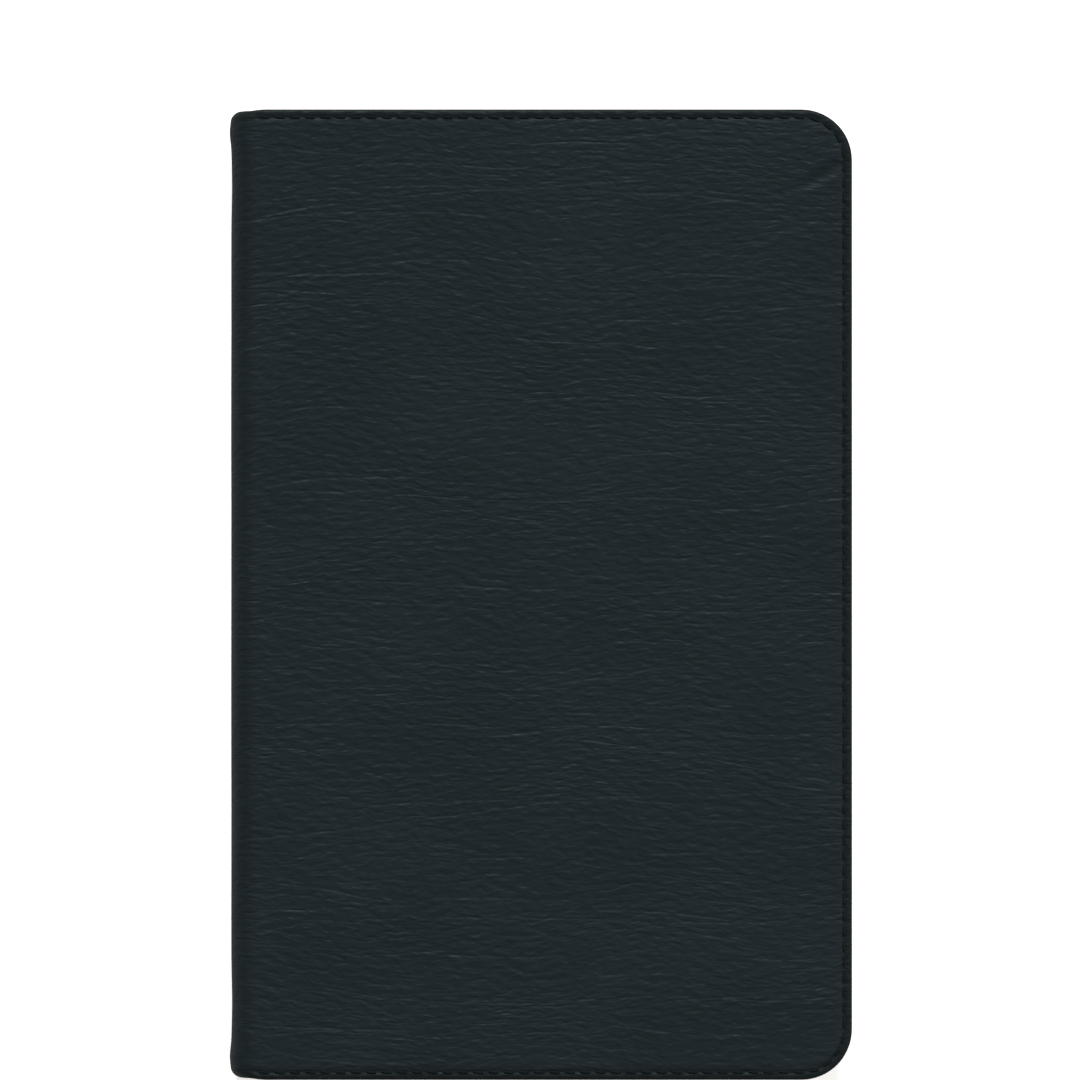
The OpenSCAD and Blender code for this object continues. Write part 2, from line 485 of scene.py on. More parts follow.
def weave(g, first, second, pitch):
    """Height of a plain weave, from 0 to 1."""
    warp, weft = g.times(first, math.pi / pitch[0]), g.times(second, math.pi / pitch[1])
    threads = [g.times(g.math(wave, warp), g.math(wave, weft)) for wave in ("SINE", "COSINE")]
    cross, hollow = (g.math("ABSOLUTE", value) for value in threads)
    return g.add(g.times(cross, 0.6), g.times(g.math("SUBTRACT", 1.0, hollow), 0.4))


def cloth_material(name, colour, dark, pitch, sheen=0.2, roughness=0.75):
    """Woven cloth with threads a pitch apart in both directions, with painted shade in the hollows between
    them.
    """
    g = Graph(name)
    across, along = g.flat()
    threads = weave(g, across, along, pitch)
    slub = g.noise(g.at(across, along, pitch[0] * 1.3, pitch[1] * 9))
    # The hollows of the weave take the dark colour as painted shade; the slubs darken the cloth at random,
    # as its own tone.
    shade = g.mix(g.ramp(threads, 0.1, 0.75), dark, colour)
    shade = g.mix(g.ramp(slub, 0.35, 0.75, 0.0, 0.35), shade, dark)
    normal = g.bump(threads, 0.06 * MM)
    normal = g.bump(slub, 0.03 * MM, normal)
    rough = g.ramp(slub, 0.2, 0.8, roughness - 0.08, roughness + 0.08)
    return g.finish(shade, rough, normal, Sheen_Weight=sheen, Specular_IOR_Level=0.3)


def band_material(name, first_colour, second_colour, wrap_pitch=0.9 * MM):
    """Silk wound over a core in slanting wraps of two colours by turns."""
    g = Graph(name)
    along, around = g.flat()
    slanted = g.add(along, g.times(around, 0.35))
    wraps = g.math("SINE", g.times(slanted, 2 * math.pi / wrap_pitch))
    strands = g.math("SINE", g.times(slanted, 12 * math.pi / wrap_pitch))
    shade = g.mix(g.ramp(wraps, -0.12, 0.12), first_colour, second_colour)
    shade = g.mix(g.ramp(strands, -0.6, 1.0, 0.0, 0.3), shade, rgb(0.02, 0.015, 0.012))
    normal = g.bump(g.math("ABSOLUTE", wraps), 0.10 * MM)
    normal = g.bump(strands, 0.03 * MM, normal)
    return g.finish(shade, g.ramp(strands, -1.0, 1.0, 0.55, 0.4), normal, Sheen_Weight=0.3)


def card_material(name, colour, fleck):
    """Grey-brown bookbinder's card with fibres and flecks."""
    g = Graph(name)
    across, along = g.flat()
    fibres = g.noise(g.at(across, along, *mm(4, 0.5)), detail=4.0, roughness=0.6)
    flecks = g.cells(g.at(across, along, *mm(1.3, 1.1)))
    shade = g.mix(g.ramp(fibres, 0.3, 0.7), colour, scaled(colour, 1.18))
    shade = g.mix(g.ramp(flecks, 0.0, 0.16, 0.8, 0.0), shade, fleck)
    return g.finish(shade, g.ramp(fibres, 0.2, 0.8, 0.75, 0.92), g.bump(fibres, 0.05 * MM))


def paper_shade(g, across, along, colour):
    """Colour of paper with faint fibres and clouding, and the fibres' height."""
    fibres = g.noise(g.at(across, along, *mm(0.9, 0.35)), detail=4.0, roughness=0.65)
    clouds = g.noise(g.at(across, along, *mm(9, 12)))
    shade = g.mix(g.ramp(clouds, 0.3, 0.7), scaled(colour, 0.95), colour)
    shade = g.mix(g.ramp(fibres, 0.35, 0.8, 0.0, 0.12), shade, rgb(0.42, 0.36, 0.27))
    return shade, fibres


def paper_material(name, colour):
    g = Graph(name)
    across, along = g.flat()
    shade, fibres = paper_shade(g, across, along, colour)
    return g.finish(shade, g.ramp(fibres, 0.2, 0.8, 0.7, 0.85), g.bump(fibres, 0.03 * MM))


# Printed page: generic dashes stand for lines of type, in two columns with a rule between them.
PRINT_LINE = 2.75 * MM
PRINT_HEIGHT = 0.40
PRINT_TICK = 0.52 * MM
PRINT_WORD = 1.35 * MM
PRINT_GAP_SHARE = 0.2
PRINT_MIDDLE = 2.5 * MM
PRINT_HALF_W = 54 * MM
PRINT_HALF_H = 94 * MM
PRINT_CENTRE_X = 0.5 * MM
PRINT_RULE_HALF = 0.12 * MM
PRINT_SEED = 3.0


def inside(g, value, low, high, soft=0.15 * MM):
    """1 where value is from low to high, and 0 elsewhere."""
    return g.times(g.ramp(value, low, low + soft), g.ramp(value, high - soft, high, 1.0, 0.0))


def printed_material(name, colour, ink):
    """Thin paper with two columns of dashes in place of type."""
    g = Graph(name)
    across, along = g.flat()
    shade, fibres = paper_shade(g, across, along, colour)
    x = g.add(across, -PRINT_CENTRE_X)
    row = g.math("FLOOR", g.times(along, 1 / PRINT_LINE))
    down = g.math("FRACT", g.times(along, 1 / PRINT_LINE))
    in_line = inside(g, down, 0.25, 0.25 + PRINT_HEIGHT, 0.08)
    jitter = g.chance(g.pair(row, PRINT_SEED))
    word = g.math("FLOOR", g.add(g.times(x, 1 / PRINT_WORD), jitter))
    keep = g.math("GREATER_THAN", g.chance(g.pair(word, row)), PRINT_GAP_SHARE)
    tick = g.chance(g.pair(g.math("FLOOR", g.times(x, 1 / PRINT_TICK)), row))
    tick_place = g.math("FRACT", g.times(x, 1 / PRINT_TICK))
    stroke = g.times(inside(g, tick_place, 0.12, 0.9, 0.15), g.ramp(tick, 0.0, 1.0, 0.55, 1.0))
    left = inside(g, x, -PRINT_HALF_W, -PRINT_MIDDLE)
    columns = g.add(left, inside(g, x, PRINT_MIDDLE, PRINT_HALF_W))
    height = inside(g, along, -PRINT_HALF_H, PRINT_HALF_H)
    rule = g.times(inside(g, x, -PRINT_RULE_HALF, PRINT_RULE_HALF, 0.05 * MM), height)
    print_mask = g.times(g.times(g.times(in_line, keep), stroke), g.times(columns, height))
    print_mask = g.math("MAXIMUM", print_mask, g.times(rule, 0.8))
    shade = g.mix(g.times(print_mask, 0.82), shade, ink)
    return g.finish(shade, g.ramp(fibres, 0.2, 0.8, 0.68, 0.82), g.bump(fibres, 0.02 * MM))


def gilt_material(name, gold, shadow):
    """Gilded page edges, with the fine lines of the leaves along them."""
    g = Graph(name)
    around, height = g.flat()
    leaves = g.noise(g.at(around, height, *mm(34, 0.085)), roughness=0.7)
    bundles = g.noise(g.at(around, height, *mm(90, 0.8)))
    rub = g.noise(g.at(around, height, *mm(7, 3)), detail=3.0)
    shade = g.mix(g.ramp(leaves, 0.28, 0.6), shadow, gold)
    shade = g.mix(g.ramp(rub, 0.55, 0.8, 0.0, 0.25), shade, rgb(0.78, 0.66, 0.45))
    normal = g.bump(leaves, 0.05 * MM)
    normal = g.bump(bundles, 0.10 * MM, normal)
    return g.finish(shade, g.ramp(leaves, 0.2, 0.8, 0.5, 0.3), normal, Metallic=0.6)


LEATHER_COLOUR = rgb(0.0076, 0.0128, 0.0149)
# Lighter colour painted along the cover's creases as their highlight.
LEATHER_CREASE_HIGHLIGHT = rgb(0.0195, 0.0287, 0.0335)
# Darker near the cover's edge; over the seam's furrow it is painted shade.
LEATHER_RIM = rgb(0.0056, 0.0084, 0.0092)
LINING_COLOUR = rgb(0.0095, 0.012, 0.0145)
# Lighter colour painted along the lining's creases as their highlight.
LINING_CREASE_HIGHLIGHT = rgb(0.020, 0.024, 0.028)
PAPER_COLOUR = rgb(0.64, 0.595, 0.50)
ENDPAPER_COLOUR = rgb(0.60, 0.54, 0.43)

COVER_LEATHER = leather_material("cover_leather", LEATHER_COLOUR, LEATHER_CREASE_HIGHLIGHT, LEATHER_RIM)
LINING = leather_material("lining", LINING_COLOUR, LINING_CREASE_HIGHLIGHT, depth=0.5, long_creases=0.0)
SEAM_DARK, SEAM_LIGHT = rgb(0.0045, 0.007, 0.008), rgb(0.0125, 0.019, 0.022)
SEAM_THREAD = thread_material("seam_thread", SEAM_DARK, SEAM_LIGHT, shine=0.07)
SEWING_THREAD = thread_material("sewing_thread", rgb(0.55, 0.50, 0.40), rgb(0.78, 0.73, 0.62))
MULL = cloth_material("mull", rgb(0.66, 0.62, 0.52), rgb(0.20, 0.18, 0.14), mm(0.9, 0.9))
RED, DARK_RED = rgb(0.27, 0.012, 0.022), rgb(0.10, 0.004, 0.008)
RIBBON = cloth_material("ribbon", RED, DARK_RED, mm(0.22, 0.3), sheen=0.6, roughness=0.4)
BAND = band_material("band", rgb(0.30, 0.016, 0.022), rgb(0.74, 0.68, 0.54))
CARD = card_material("card", rgb(0.30, 0.27, 0.21), rgb(0.08, 0.07, 0.05))
PAGE_PAPER = paper_material("page_paper", PAPER_COLOUR)
PRINTED_PAPER = printed_material("printed_paper", PAPER_COLOUR, rgb(0.03, 0.028, 0.03))
ENDPAPER = paper_material("endpaper", ENDPAPER_COLOUR)
GILT = gilt_material("gilt_edge", rgb(0.83, 0.58, 0.22), rgb(0.34, 0.20, 0.06))


# ---- cover and spine leather
GRID_INSET = 3.3 * MM
PANEL_STEP = 0.88 * MM
SPINE_STEP = 0.6 * MM
SPINE_FINE_TO = 4 * MM
KNEE_RUN = 90 * MM

# Edge profiles as (distance from the edge, depth) in millimetres, from the grid's rim to its inside.
# The panel's has the seam's furrow and a thin rounded edge. The cap's is the rolled end of the spine.
PANEL_PROFILE = MM * np.array([
    (3.3, 0.0), (2.9, 0.01), (2.5, 0.06), (2.2, 0.12), (1.97, 0.19), (1.75, 0.23), (1.56, 0.2),
    (1.36, 0.14), (1.1, 0.1), (0.8, 0.11), (0.52, 0.16), (0.29, 0.27), (0.12, 0.44), (0.03, 0.62),
    (0.0, 0.8), (0.04, 1.05), (0.16, 1.25), (0.35, 1.37), (0.6, 1.4), (1.6, 1.4), (3.2, 1.4),
    (3.24, 0.9), (3.3, 0.9),
])
CAP_PROFILE = MM * np.array([
    (3.3, 0.0), (2.7, 0.0), (2.35, 0.0), (2.1, 0.0), (1.92, 0.01), (1.75, 0.03), (1.58, 0.06),
    (1.4, 0.11), (1.15, 0.23), (0.85, 0.44), (0.55, 0.73), (0.3, 1.04), (0.12, 1.4), (0.03, 1.65),
    (0.0, 1.85), (0.1, 2.12), (0.4, 2.3), (0.9, 2.3), (1.4, 2.1), (1.8, 1.5), (3.2, 1.4),
    (3.24, 1.0), (3.3, 1.0),
])
FURROW_ROWS = range(2, 9)
HOLE_DEPTH = 0.22
THICK_FROM = 1 * MM
RELIEF_ENDS_AT = 1.2 * MM

# Where the leather changes from cover to spine, for its rolled end, its swelling and its height.
CAP_ZONE = mm(0.5, -3.0)
SWELL_ZONE = mm(-1, -6)
HEIGHT_ZONE = mm(2, -2)

# Folds pressed into the leather at its fore-edge corners, in millimetres: start, end, width, depth.
CORNER_FOLDS = [
    ((69.0, 97.4), (57.2, 89.8), 1.3, 0.34),
    ((66.5, 93.2), (53.0, 86.4), 0.9, -0.16),
    ((58.5, -92.0), (47.0, -93.6), 1.2, 0.14),
    ((67.0, -84.0), (60.5, -88.0), 1.0, 0.10),
]
FOLD_STARTS, FOLD_ENDS = (-0.15, 0.2), (0.6, 1.1)
FOLD_RIDGE, FOLD_RIDGE_AT = 0.6, 1.6

# Soft waviness of the outside as (depth, size, seed). The spine swells by its ends and has a waist next to
# them: (distance from the middle, half width, depth).
SURFACE_WAVES = [(*mm(0.05, 34), 3.0), (*mm(0.025, 13), 8.0)]
SPINE_SWELLS = [mm(103.4, 2.6, -0.34), mm(91, 6, 0.16)]


def eased(value, low, high):
    """0 below low, 1 above high, and smooth between."""
    share = np.clip((value - low) / (high - low), 0, 1)
    return share * share * (3 - 2 * share)


def spread(low, high, step):
    return np.linspace(low, high, int(math.ceil((high - low) / step)) + 1)


def panel_rows(half_h, radius, inset, step):
    """For each row of a panel with round fore-edge corners: its y, how far its fore-edge end is past the
    corners' centre line, and the outward normal there."""
    bend = np.radians(spread(0, 90, math.degrees(step / (radius - inset))))
    head = np.stack([np.cos(bend), np.sin(bend)], 1)
    straight = spread(radius - half_h, half_h - radius, step)[1:-1]
    normals = np.concatenate([head[::-1] * (1, -1), np.tile((1.0, 0.0), (len(straight), 1)), head])
    corner = np.full(len(head), half_h - radius)
    middle = np.concatenate([-corner, straight, corner])
    return middle + normals[:, 1] * (radius - inset), normals[:, 0] * (radius - inset), normals


def stretched(places, knee, end, right):
    """Places across the rows, spaced out past the knee so that each row ends at right, not at end."""
    return np.where(places > knee, knee + (places - knee) * (right - knee) / (end - knee), places)


def rim(values):
    """The values round a grid's tail, fore-edge and head."""
    return np.concatenate([values[0, :-1], values[:, -1], values[-1, -2::-1]])


def rim_normals(columns, normals):
    """Outward normals that go with rim()."""
    tail = np.tile((0.0, -1.0), (columns - 1, 1))
    return np.concatenate([tail, normals, -tail])


def fold_relief(x, y):
    """Depth of the corner folds at each place."""
    depth = np.zeros_like(x)
    for start, end, width, deep in CORNER_FOLDS:
        a, b = np.array(start) * MM, np.array(end) * MM
        along = b - a
        share = ((x - a[0]) * along[0] + (y - a[1]) * along[1]) / (along @ along)
        aside = ((x - a[0]) * along[1] - (y - a[1]) * along[0]) / np.linalg.norm(along)
        inside_fold = eased(share, *FOLD_STARTS) * (1 - eased(share, *FOLD_ENDS))
        valley, ridge = (np.exp(-((aside / (width * MM) - at) ** 2)) for at in (0, FOLD_RIDGE_AT))
        depth += inside_fold * deep * MM * (valley - FOLD_RIDGE * ridge)
    return depth


def leather_relief(flat_run, y):
    """How far the leather's outside lies under the plain shape. flat_run counts from the front hinge."""
    place = joined(flat_run, y)
    relief = sum(depth * (1 + waves(place, size, seed)) for depth, size, seed in SURFACE_WAVES)
    swell = sum(depth * np.exp(-(((np.abs(y) - at) / wide) ** 2)) for at, wide, depth in SPINE_SWELLS)
    return relief + share_on_spine(flat_run, *SWELL_ZONE) * swell


def from_front(run, side):
    """A run on either side, counted from the front hinge on round the spine."""
    return run if side == "front" else -2 * SPINE_LENGTH - run


def share_on_spine(flat_run, start, end):
    """0 on the covers and 1 on the spine. start and end count from each hinge to its cover."""
    past_back = flat_run + 2 * SPINE_LENGTH
    return eased(-flat_run, -start, -end) * eased(past_back, -start, -end)


def leather_place(run, y, depth, side, on_outside=0.0):
    """Points of the leather. on_outside is their share of the relief of its outside."""
    flat_run = from_front(run, side)
    if np.any(on_outside):
        relief = leather_relief(flat_run, y)
        if side == "front":
            relief = relief + fold_relief(HINGE_X + run, y)
        depth = depth + relief * on_outside
    shorter = share_on_spine(flat_run, *HEIGHT_ZONE) * (EDGE_Y - SPINE_Y) / EDGE_Y
    return wrap(run, y * (1 - shorter), depth, side)


def seam_length(run, y, out, inset=GRID_INSET):
    """Length along the seam at each place of a rim, from the middle of the fore-edge."""
    by = inset - SEAM_INSET
    length = run_along(run + out[:, 0] * by, y + out[:, 1] * by)
    return length - length[-1] / 2


def edge_rings(shell, run_grid, y_grid, normals, side, outer, inner):
    """Rows of numbers round the leather's edge, from the rim of its outside to the rim of its inside."""
    run, along, out = rim(run_grid), rim(y_grid), rim_normals(run_grid.shape[1], normals)
    cap = share_on_spine(from_front(run, side), *CAP_ZONE)
    profile = PANEL_PROFILE[..., None] * (1 - cap) + CAP_PROFILE[..., None] * cap
    holes = -np.cos(2 * math.pi * seam_length(run, along, out) / STITCH_PITCH)
    rings = [rim(outer)]
    path = np.zeros(len(run))
    for number in range(1, len(profile) - 1):
        inset, depth = profile[number]
        path = path + np.hypot(*(profile[number] - profile[number - 1]))
        if number in FURROW_ROWS:
            depth = depth * (1 + HOLE_DEPTH * holes * (1 - cap))
        ring_run = run + out[:, 0] * (GRID_INSET - inset)
        ring_y = along + out[:, 1] * (GRID_INSET - inset)
        outside = np.clip(1 - depth / RELIEF_ENDS_AT, 0, 1)
        flat = joined(from_front(run + out[:, 0] * path, side), along + out[:, 1] * path)
        rings.append(shell.loose(leather_place(ring_run, ring_y, depth, side, outside), flat))
    return np.array(rings + [rim(inner)])


def leather_shell(name, runs, side, with_seam):
    """One closed piece of the cover's leather over these runs, with its sewn or rolled edge."""
    y, reach, normals = panel_rows(EDGE_Y, CORNER_R, GRID_INSET, PANEL_STEP)
    run_grid, y_grid = np.broadcast_arrays(runs, y[:, None])
    if with_seam:
        right = (EDGE_X - CORNER_R - HINGE_X + reach)[:, None]
        run_grid = stretched(run_grid, KNEE_RUN, runs[-1], right)
    else:
        normals = np.sign(y)[:, None] * (0.0, 1.0)
    shell = Shell()
    flat = joined(from_front(run_grid, side), y_grid)
    outer = shell.grid(leather_place(run_grid, y_grid, 0.0, side, 1.0), flat)
    inner_depth = np.where(run_grid > THICK_FROM, LEATHER_T, SPINE_LEATHER_T)
    inner = shell.grid(leather_place(run_grid, y_grid, inner_depth, side), flat)
    rings = edge_rings(shell, run_grid, y_grid, normals, side, outer, inner)

    tail_end, head_end = len(runs), rings.shape[1] - len(runs)
    parts = [slice(None)] if with_seam else [slice(None, tail_end), slice(head_end, None)]
    for part in parts:
        shell.skin(rings[:, part])
    corners = {0: (0, -1)} if with_seam else {0: (0, -1), -1: (tail_end - 1, head_end)}
    for column, places in corners.items():
        shell.bridge(outer[:, column], inner[:, column])
        for place in places:
            shell.zip_up(rings[:, place])
    return shell.make(name, [COVER_LEATHER])


def bends(piece):
    """Bakes the piece's placement into its mesh; it does not bend the piece from one body to the other."""
    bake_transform(piece)


def bends_near(piece, body_a, body_b, root_x, zone):
    """Bakes the piece's placement into its mesh and does not bend it. zone, which counts from its root
    towards the fore-edge, is not used.
    """
    bends(piece)


def bends_at_hinge(piece, side):
    bends_near(piece, *SIDES[side], HINGE_X, HINGE_BEND)


def bends_at_fold(piece):
    bends(piece)


def hand_over(piece, slot_name, *nodes):
    """Hides the CAD nodes that the piece stands in place of. slot_name is not used: the piece gets no
    material slot.
    """
    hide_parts(*nodes)


def make_cover_leather():
    full = EDGE_X - GRID_INSET - HINGE_X
    on_spine = spread(-SEAM_RUN, SPINE_FINE_TO, SPINE_STEP)
    runs = np.concatenate([on_spine, spread(SPINE_FINE_TO, full, PANEL_STEP)[1:]])
    for side in SIDES:
        piece = leather_shell(f"{side}_leather", runs, side, True)
        bends_at_hinge(piece, side)
        hand_over(piece, "cover_leather", f"{side}_cover_leather")
    middle = spread(-2 * SPINE_LENGTH + SEAM_RUN, -SEAM_RUN, SPINE_STEP)
    piece = leather_shell("spine_leather", middle, "front", False)
    bends_at_fold(piece)
    hand_over(piece, "cover_leather", "front_spine_leather", "back_spine_leather")


# ---- seam
STITCH_HALF = 1.34 * MM
STITCH_R = 0.23 * MM
STITCH_SLANT = 0.13 * MM
STITCH_SIDES = 8
STITCH_STATIONS = np.array([-1.0, -0.93, -0.75, -0.4, 0.0, 0.4, 0.75, 0.93, 1.0])
STITCH_TAPER = 0.75
STITCH_RISE = 0.75 * STITCH_R
STITCH_DIVE = 0.5 * MM
STITCH_FLATNESS = 0.85
SEAM_FURROW = 0.24 * MM
SEAM_STEP = 0.3 * MM


def seam_path():
    """Run, y, outward normal and length at points along the seam."""
    y, reach, normals = panel_rows(EDGE_Y, CORNER_R, SEAM_INSET, SEAM_STEP)
    right = EDGE_X - CORNER_R - HINGE_X
    side_run = spread(SEAM_STEP, right, SEAM_STEP)[:-1]
    side_y = np.full(len(side_run), y[0])
    run = np.concatenate([side_run, right + reach, side_run[::-1]])
    along = np.concatenate([side_y, y, -side_y])
    out = rim_normals(len(side_run) + 1, normals)
    return run, along, out, seam_length(run, along, out, SEAM_INSET)


def stitch_rings(centre, path, up_sign, floor):
    """Run, y and depth round one stitch, which lies at a depth of floor and dives at both ends."""
    run, y, out, length = path
    station = STITCH_STATIONS[:, None]
    place = centre + station * STITCH_HALF
    run, y, out_run, out_y = (np.interp(place, length, values) for values in (run, y, *out.T))
    thick = STITCH_R * (1 - STITCH_TAPER * np.abs(station) ** 5)
    rise = STITCH_RISE - STITCH_DIVE * np.abs(station) ** 7
    around = np.linspace(0, 2 * math.pi, STITCH_SIDES, endpoint=False)
    aside = thick * np.cos(around) + STITCH_SLANT * station
    lift = rise + thick * STITCH_FLATNESS * np.sin(around)
    return run + out_run * aside, y + out_y * aside, floor - up_sign * lift


def make_seam(side):
    """The seam's stitches, on the outside of the cover and on its lining."""
    path = seam_path()
    length = path[3]
    last = math.floor((length[-1] - STITCH_HALF) / STITCH_PITCH)
    around = np.linspace(0, 2 * math.pi * STITCH_R, STITCH_SIDES)
    shell = Shell()
    for centre in np.arange(-last, last + 1) * STITCH_PITCH:
        flat = joined(centre + STITCH_STATIONS[:, None] * STITCH_HALF, around)
        for up_sign, floor in ((1, SEAM_FURROW), (-1, LINING_T)):
            shell.tube(wrap(*stitch_rings(centre, path, up_sign, floor), side), flat)
    piece = shell.make(f"{side}_seam_stitches", [SEAM_THREAD], sharp_above=75)
    bends_at_hinge(piece, side)
    hand_over(piece, "thread", f"{side}_cover_stitching")


# ---- flat pieces
# Column step by the spine, how far it goes on, the step beyond it and the row step.
COVER_STEPS = mm(0.6, 4, 3, 3)
FLYLEAF_STEPS = mm(1.0, 16, 3.5, 4)
MIDDLE_LEAF_STEPS = mm(2.0, 60, 3.5, 4)
LINING_INSET = 0.4 * MM

# Where each kind of leaf would bend, counted from its root. These zones are passed on but not used: no leaf
# is bent or creased.
FLYLEAF_BEND = mm(-24, 14)
LEAF_BEND = mm(-60, 45)


def sheet_grid(x_low, x_high, half_h, radius, inset, steps):
    """x and y of a grid inset from the edge of a sheet with round fore-edge corners, and along its rim the
    outward normal and the length so far."""
    near_step, near, far_step, row_step = steps
    near_to = min(x_low + near, x_high - 2 * radius)
    y, reach, normals = panel_rows(half_h, radius, inset, row_step)
    far_columns = spread(near_to, x_high - inset, far_step)[1:]
    columns = np.concatenate([spread(x_low, near_to, near_step), far_columns])
    x, along = np.broadcast_arrays(columns, y[:, None])
    x = stretched(x, near_to, columns[-1], (x_high - radius + reach)[:, None])
    return x, along, rim_normals(len(columns), normals), run_along(rim(x), rim(along))


def slab(x_low, x_high, half_h, radius, z_low, z_high, rounding, steps, paints=(0, 0, 0)):
    """A flat closed sheet with round fore-edge corners. paints are for its top, edge and bottom."""
    shell = Shell()
    x, along, out, length = sheet_grid(x_low, x_high, half_h, radius, rounding, steps)
    top = shell.grid(joined(x, along, z_high), joined(x, along), paints[0])
    bottom = shell.grid(joined(x, along, z_low), joined(x, along), paints[2])
    rim_x, rim_y = rim(x) + out[:, 0] * rounding, rim(along) + out[:, 1] * rounding
    rings = [rim(top)]
    for z in (z_high - rounding, z_low + rounding):
        rings.append(shell.loose(joined(rim_x, rim_y, z), joined(length, z)))
    rings = np.array(rings + [rim(bottom)])
    shell.skin(rings, paints[1])
    shell.bridge(top[:, 0], bottom[:, 0], paints[1])
    for end in (0, -1):
        shell.zip_up(rings[:, end], paints[1])
    return shell


def mirrored(z_low, z_high, side):
    """Heights of a front piece, or of its twin at the back."""
    return (z_low, z_high) if side == "front" else (TOP_Z - z_high, TOP_Z - z_low)


def make_inner_cover(side):
    """The card inside a cover, and the lining glued over it."""
    for name, low, high, radius, rounding, material, slot_name in (
        ("board", board_low, board_high, CORNER_R - TURN_IN, 0.06 * MM, CARD, "card"),
        ("lining", lining_low, lining_high, CORNER_R - LINING_INSET, 0.13 * MM, LINING, "lining"),
    ):
        z_low, z_high = mirrored(low.z, high.z, side)
        shell = slab(low.x, high.x, high.y, radius, z_low, z_high, rounding, COVER_STEPS)
        piece = shell.make(f"{side}_{name}", [material])
        bends_at_hinge(piece, side)
        hand_over(piece, slot_name, f"{side}_cover_{name}")


def make_leaves():
    """Flyleaves and the turning leaves of the middle gathering."""
    for side, (half, cover) in SIDES.items():
        shape = (leaf_low.x, leaf_high.x, PAGE_HALF_H, PAGE_CORNER_R)
        shell = slab(*shape, *mirrored(leaf_low.z, leaf_high.z, side), 0.06 * MM, FLYLEAF_STEPS)
        piece = shell.make(f"{side}_endpaper", [ENDPAPER])
        root = half if side == "front" else cover
        bends_near(piece, root, f"{side}_flyleaf", HINGE_X, FLYLEAF_BEND)
        hand_over(piece, "endpaper", f"{side}_flyleaf")
    for number in (1, 2, 3):
        node = f"middle_leaf_{number}"
        low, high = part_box(node)
        shape = (low.x, high.x, high.y, PAGE_CORNER_R, low.z, high.z, 0.05 * MM)
        shell = slab(*shape, MIDDLE_LEAF_STEPS, (0, 1, 0))
        piece = shell.make(f"printed_leaf_{number}", [PRINTED_PAPER, GILT])
        bends_near(piece, BACK_HALF, node, SPINE_X, LEAF_BEND)
        hand_over(piece, "pages", node)


# ---- page block
PLAIN, GILDED, PRINTED = range(3)
LEVELS_PER_SIGNATURE = 4
LEAF_UNEVEN = 0.045 * MM
SIGNATURE_GROOVE = 0.10 * MM
FOLD_GROOVE = 0.22 * MM
BLOCK_SEED = {"front": 5, "back": 9}
BLOCK_STEPS = mm(0.5, 9, 3.5, 2.2)

# Waviness of the gilt edges: its depth, its length, and how far it shifts between levels.
EDGE_WAVE = mm(0.03, 23)
EDGE_WAVE_SHIFT = 7


def close_block(shell, ring, back, height, z, across, along, paint):
    """Covers the block's pages with a flat face, between its ring of edge points and its fold."""
    x = back_x(height) + across
    points = joined(x, along, z)
    numbers = shell.loose(points.reshape(-1, 3), points[..., :2].reshape(-1, 2)).reshape(x.shape)
    rows, columns = x.shape
    numbers[0] = ring[:columns]
    numbers[:, -1] = ring[columns - 1 : columns - 1 + rows]
    numbers[-1, ::-1] = ring[-columns:]
    numbers[:, 0] = back
    shell.skin(numbers, paint)


def make_block(side):
    """The gatherings of one half: a printed page by the middle, gilt edges and folds at the back."""
    rng = np.random.default_rng(BLOCK_SEED[side])
    sign = 1 if side == "front" else -1
    floor = BLOCK_FLOOR[side]
    heights = np.linspace(floor, PAGE_RISE, SIGNATURES * LEVELS_PER_SIGNATURE + 1)
    grooves = (np.arange(len(heights)) % LEVELS_PER_SIGNATURE == 0).astype(float)
    grooves[-1] = 0
    uneven = rng.uniform(-1, 1, (len(heights), 2))
    page_w = pages_high.x - back_x(PAGE_RISE)
    across, along, out, length = sheet_grid(0, page_w, PAGE_HALF_H, PAGE_CORNER_R, 0.0, BLOCK_STEPS)
    y = along[:, 0]

    shell = Shell()
    rings, backs = [], []
    for height, groove, (off, wander) in zip(heights, grooves, uneven):
        z = MID_Z + sign * height
        slow = EDGE_WAVE[0] * np.sin(length / EDGE_WAVE[1] + EDGE_WAVE_SHIFT * wander)
        inward = SIGNATURE_GROOVE * groove - LEAF_UNEVEN * off + slow
        x = back_x(height) + rim(across) - out[:, 0] * inward
        ring = joined(x, rim(along) - out[:, 1] * inward, z)
        rings.append(shell.loose(ring, joined(length, height)))
        back = joined(back_x(height) + FOLD_GROOVE * groove, y, z)
        back[[0, -1]] = ring[[0, -1]]
        numbers = shell.loose(back, joined(y, height))
        numbers[[0, -1]] = rings[-1][[0, -1]]
        backs.append(numbers)
    for level, paint in ((0, PRINTED), (-1, PLAIN)):
        z = MID_Z + sign * heights[level]
        close_block(shell, rings[level], backs[level], heights[level], z, across, along, paint)
    shell.skin(np.array(rings), GILDED)
    shell.skin(np.array(backs), PLAIN)
    piece = shell.make(f"{side}_page_block", [PAGE_PAPER, GILT, PRINTED_PAPER], join_within=0.0005 * MM)

    bends(piece)
    hand_over(piece, "pages", f"{side}_signatures")


# ---- inside the spine
SPINE_CLEAR = 0.02 * MM
STRIP_ROW_STEP = 4 * MM
CORD_STEP = 0.15 * MM
CORD_SIDES = 12
CORD_RIDGE = 0.1
CORD_TWIST = 0.3

# The sewing threads lie in pairs. Their half sizes are along the book and into it.
SEWING_OFFSET = 0.17 * MM
SEWING_HALF = mm(0.13, 0.12)
SEWING_END = -1 * MM
BAND_CLEAR = 0.06 * MM
BAND_SINK = 0.6 * MM
BAND_HALF_T = 0.52 * MM
BAND_PITCH = 0.45 * MM
BAND_END = -0.6 * MM


